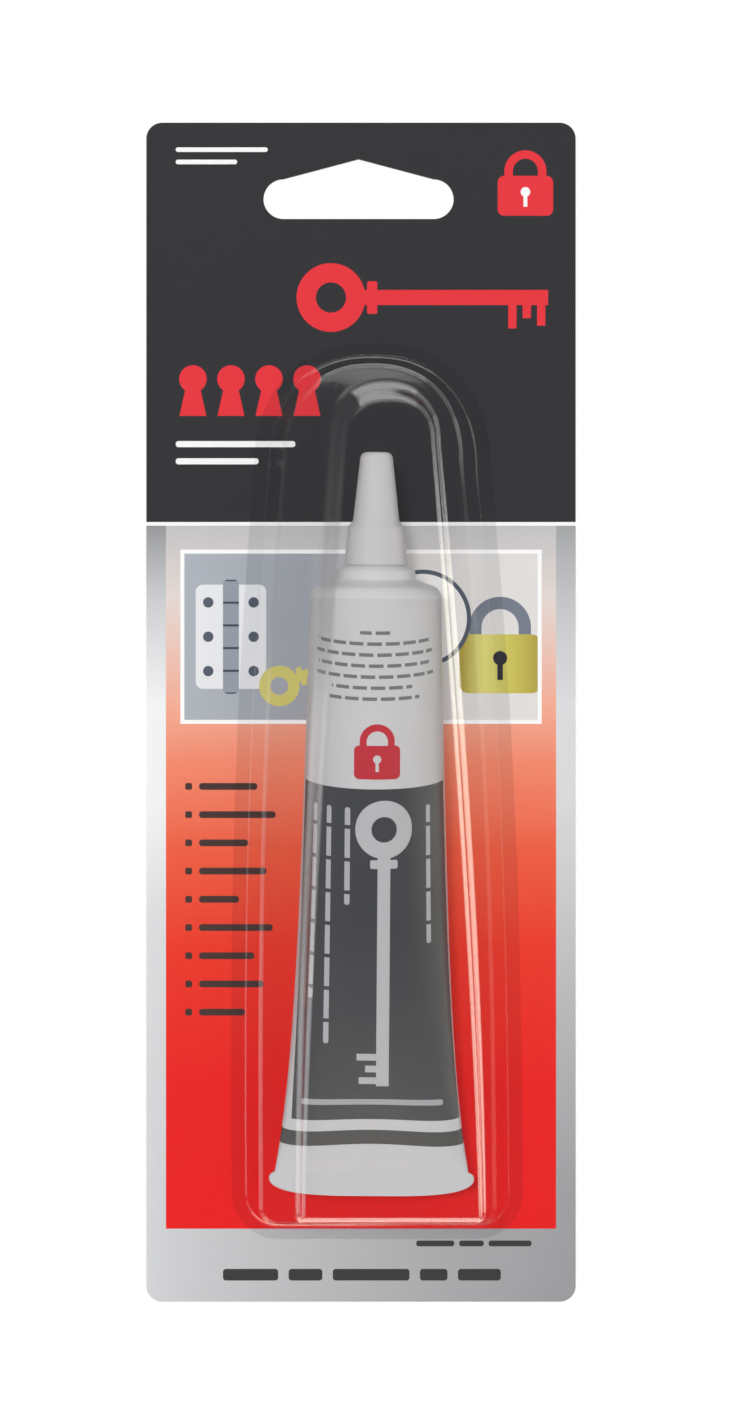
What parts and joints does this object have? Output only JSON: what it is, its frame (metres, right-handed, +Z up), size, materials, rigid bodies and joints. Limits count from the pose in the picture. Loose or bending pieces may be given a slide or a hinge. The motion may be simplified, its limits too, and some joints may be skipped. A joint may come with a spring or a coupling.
{
  "type": "carded powder squeeze tube",
  "caption": "Squeeze tube of dry lock powder with a push-on tapered cap, sealed under a clear stepped shell on a slotted hanging card.",
  "frame": {"origin": "centre of the 6 mm peg that carries the pack, under the peak of the peg slot, on the card's back face", "axes": "+Z up the card, +X to the right as the print is seen, +Y into the wall: the printed side faces -Y"},
  "size_m": [0.07, 0.0241, 0.1921],
  "materials": {
    "printed_board": "printed, coated solid board",
    "clear_film": "clear thermoformed film",
    "printed_sleeve": "soft satin polyethylene with a printed panel",
    "head_plastic": "satin moulded polyethylene",
    "cap_plastic": "smooth satin moulded plastic",
    "graphite": "fine dark powder, lightly settled"
  },
  "bodies": {
    "card": {"backing_card": "printed_board"},
    "shell": {"blister": "clear_film"},
    "tube": {"tube_sleeve": "printed_sleeve", "nozzle_head": "head_plastic", "graphite_powder": "graphite"},
    "tube_cap": {"cap": "cap_plastic"}
  },
  "joints": [
    {"name": "blister_peel", "type": "hinge", "parent": "card", "child": "shell", "pos_m": [-0.0206, -0.0009, -0.1], "axis": [0, 0, -1], "range_deg": [0, 100]},
    {"name": "tube_lift", "type": "slide", "parent": "card", "child": "tube", "axis": [0, -1, 0], "range_m": [0, 0.018]},
    {"name": "cap_pull", "type": "slide", "parent": "tube", "child": "tube_cap", "axis": [0.007, -0.0523, 0.9986], "range_m": [0, 0.022]}
  ],
  "couplings": [
    {"joint": "tube_lift", "follows": "blister_peel", "m_per_rad": 0.01},
    {"joint": "cap_pull", "follows": "blister_peel", "m_per_rad": 0.012}
  ]
}
